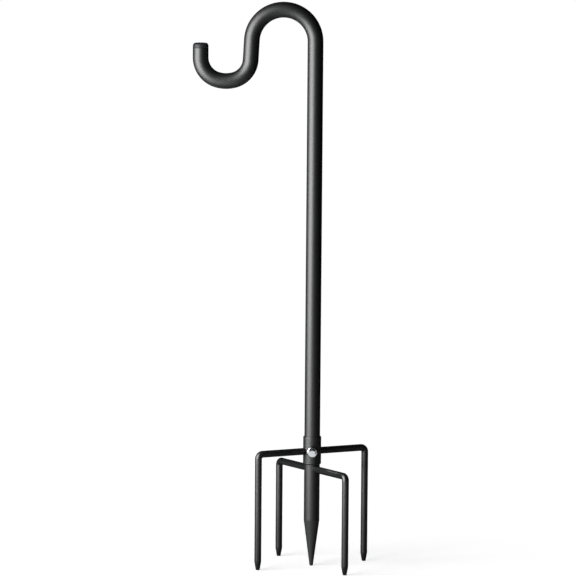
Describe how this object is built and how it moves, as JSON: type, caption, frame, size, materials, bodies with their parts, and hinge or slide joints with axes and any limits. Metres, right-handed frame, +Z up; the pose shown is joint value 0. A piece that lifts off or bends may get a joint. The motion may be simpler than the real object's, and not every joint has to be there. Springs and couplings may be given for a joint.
{
  "type": "shepherds hook",
  "caption": "Bent round-tube hanging hook on a straight pole that plugs into a ground stake with a centre spike and crossed prongs, held by one lock bolt.",
  "frame": {"origin": "centre of the flat tip of the centre spike, on the ground plane on which all the tips stand", "axes": "+Z up along the pole; the hook reaches towards -X and lies in the XZ plane; the lock bolt faces -Y"},
  "size_m": [0.1819, 0.1236, 0.5749],
  "materials": {
    "pole_coat": "satin black powder coat",
    "stake_coat": "satin black powder coat",
    "point_coat": "matt black powder coat",
    "cap_plastic": "matt moulded black",
    "bolt_zinc": "bright zinc plate",
    "spigot_zinc": "dull zinc plate"
  },
  "bodies": {
    "base": {"spike_tube": "stake_coat", "spike_point": "point_coat", "fixed_fork": "stake_coat", "spike_welds": "stake_coat"},
    "turning_fork": {"fork_hub": "stake_coat", "weld_nut": "stake_coat", "left_prong": "stake_coat", "right_prong": "stake_coat", "hub_welds": "stake_coat"},
    "bolt": {"lock_bolt": "bolt_zinc"},
    "spigot": {"joint_spigot": "spigot_zinc"},
    "pole": {"hook_pole": "pole_coat", "tip_cap": "cap_plastic"}
  },
  "joints": [
    {"name": "fork_swivel", "type": "hinge", "parent": "base", "child": "turning_fork", "pos_m": [0, 0, 0.11885], "axis": [0, 0, 1], "range_deg": [-83, 83]},
    {"name": "bolt_turn", "type": "hinge", "parent": "turning_fork", "child": "bolt", "pos_m": [0, -0.01605, 0.11885], "axis": [0, -1, 0], "range_deg": [0, 1080]},
    {"name": "pole_swivel", "type": "hinge", "parent": "base", "child": "spigot", "pos_m": [0, 0, 0.114], "axis": [0, 0, 1], "continuous": true},
    {"name": "pole_lift", "type": "slide", "parent": "spigot", "child": "pole", "axis": [0, 0, 1], "range_m": [0, 0.03]}
  ]
}
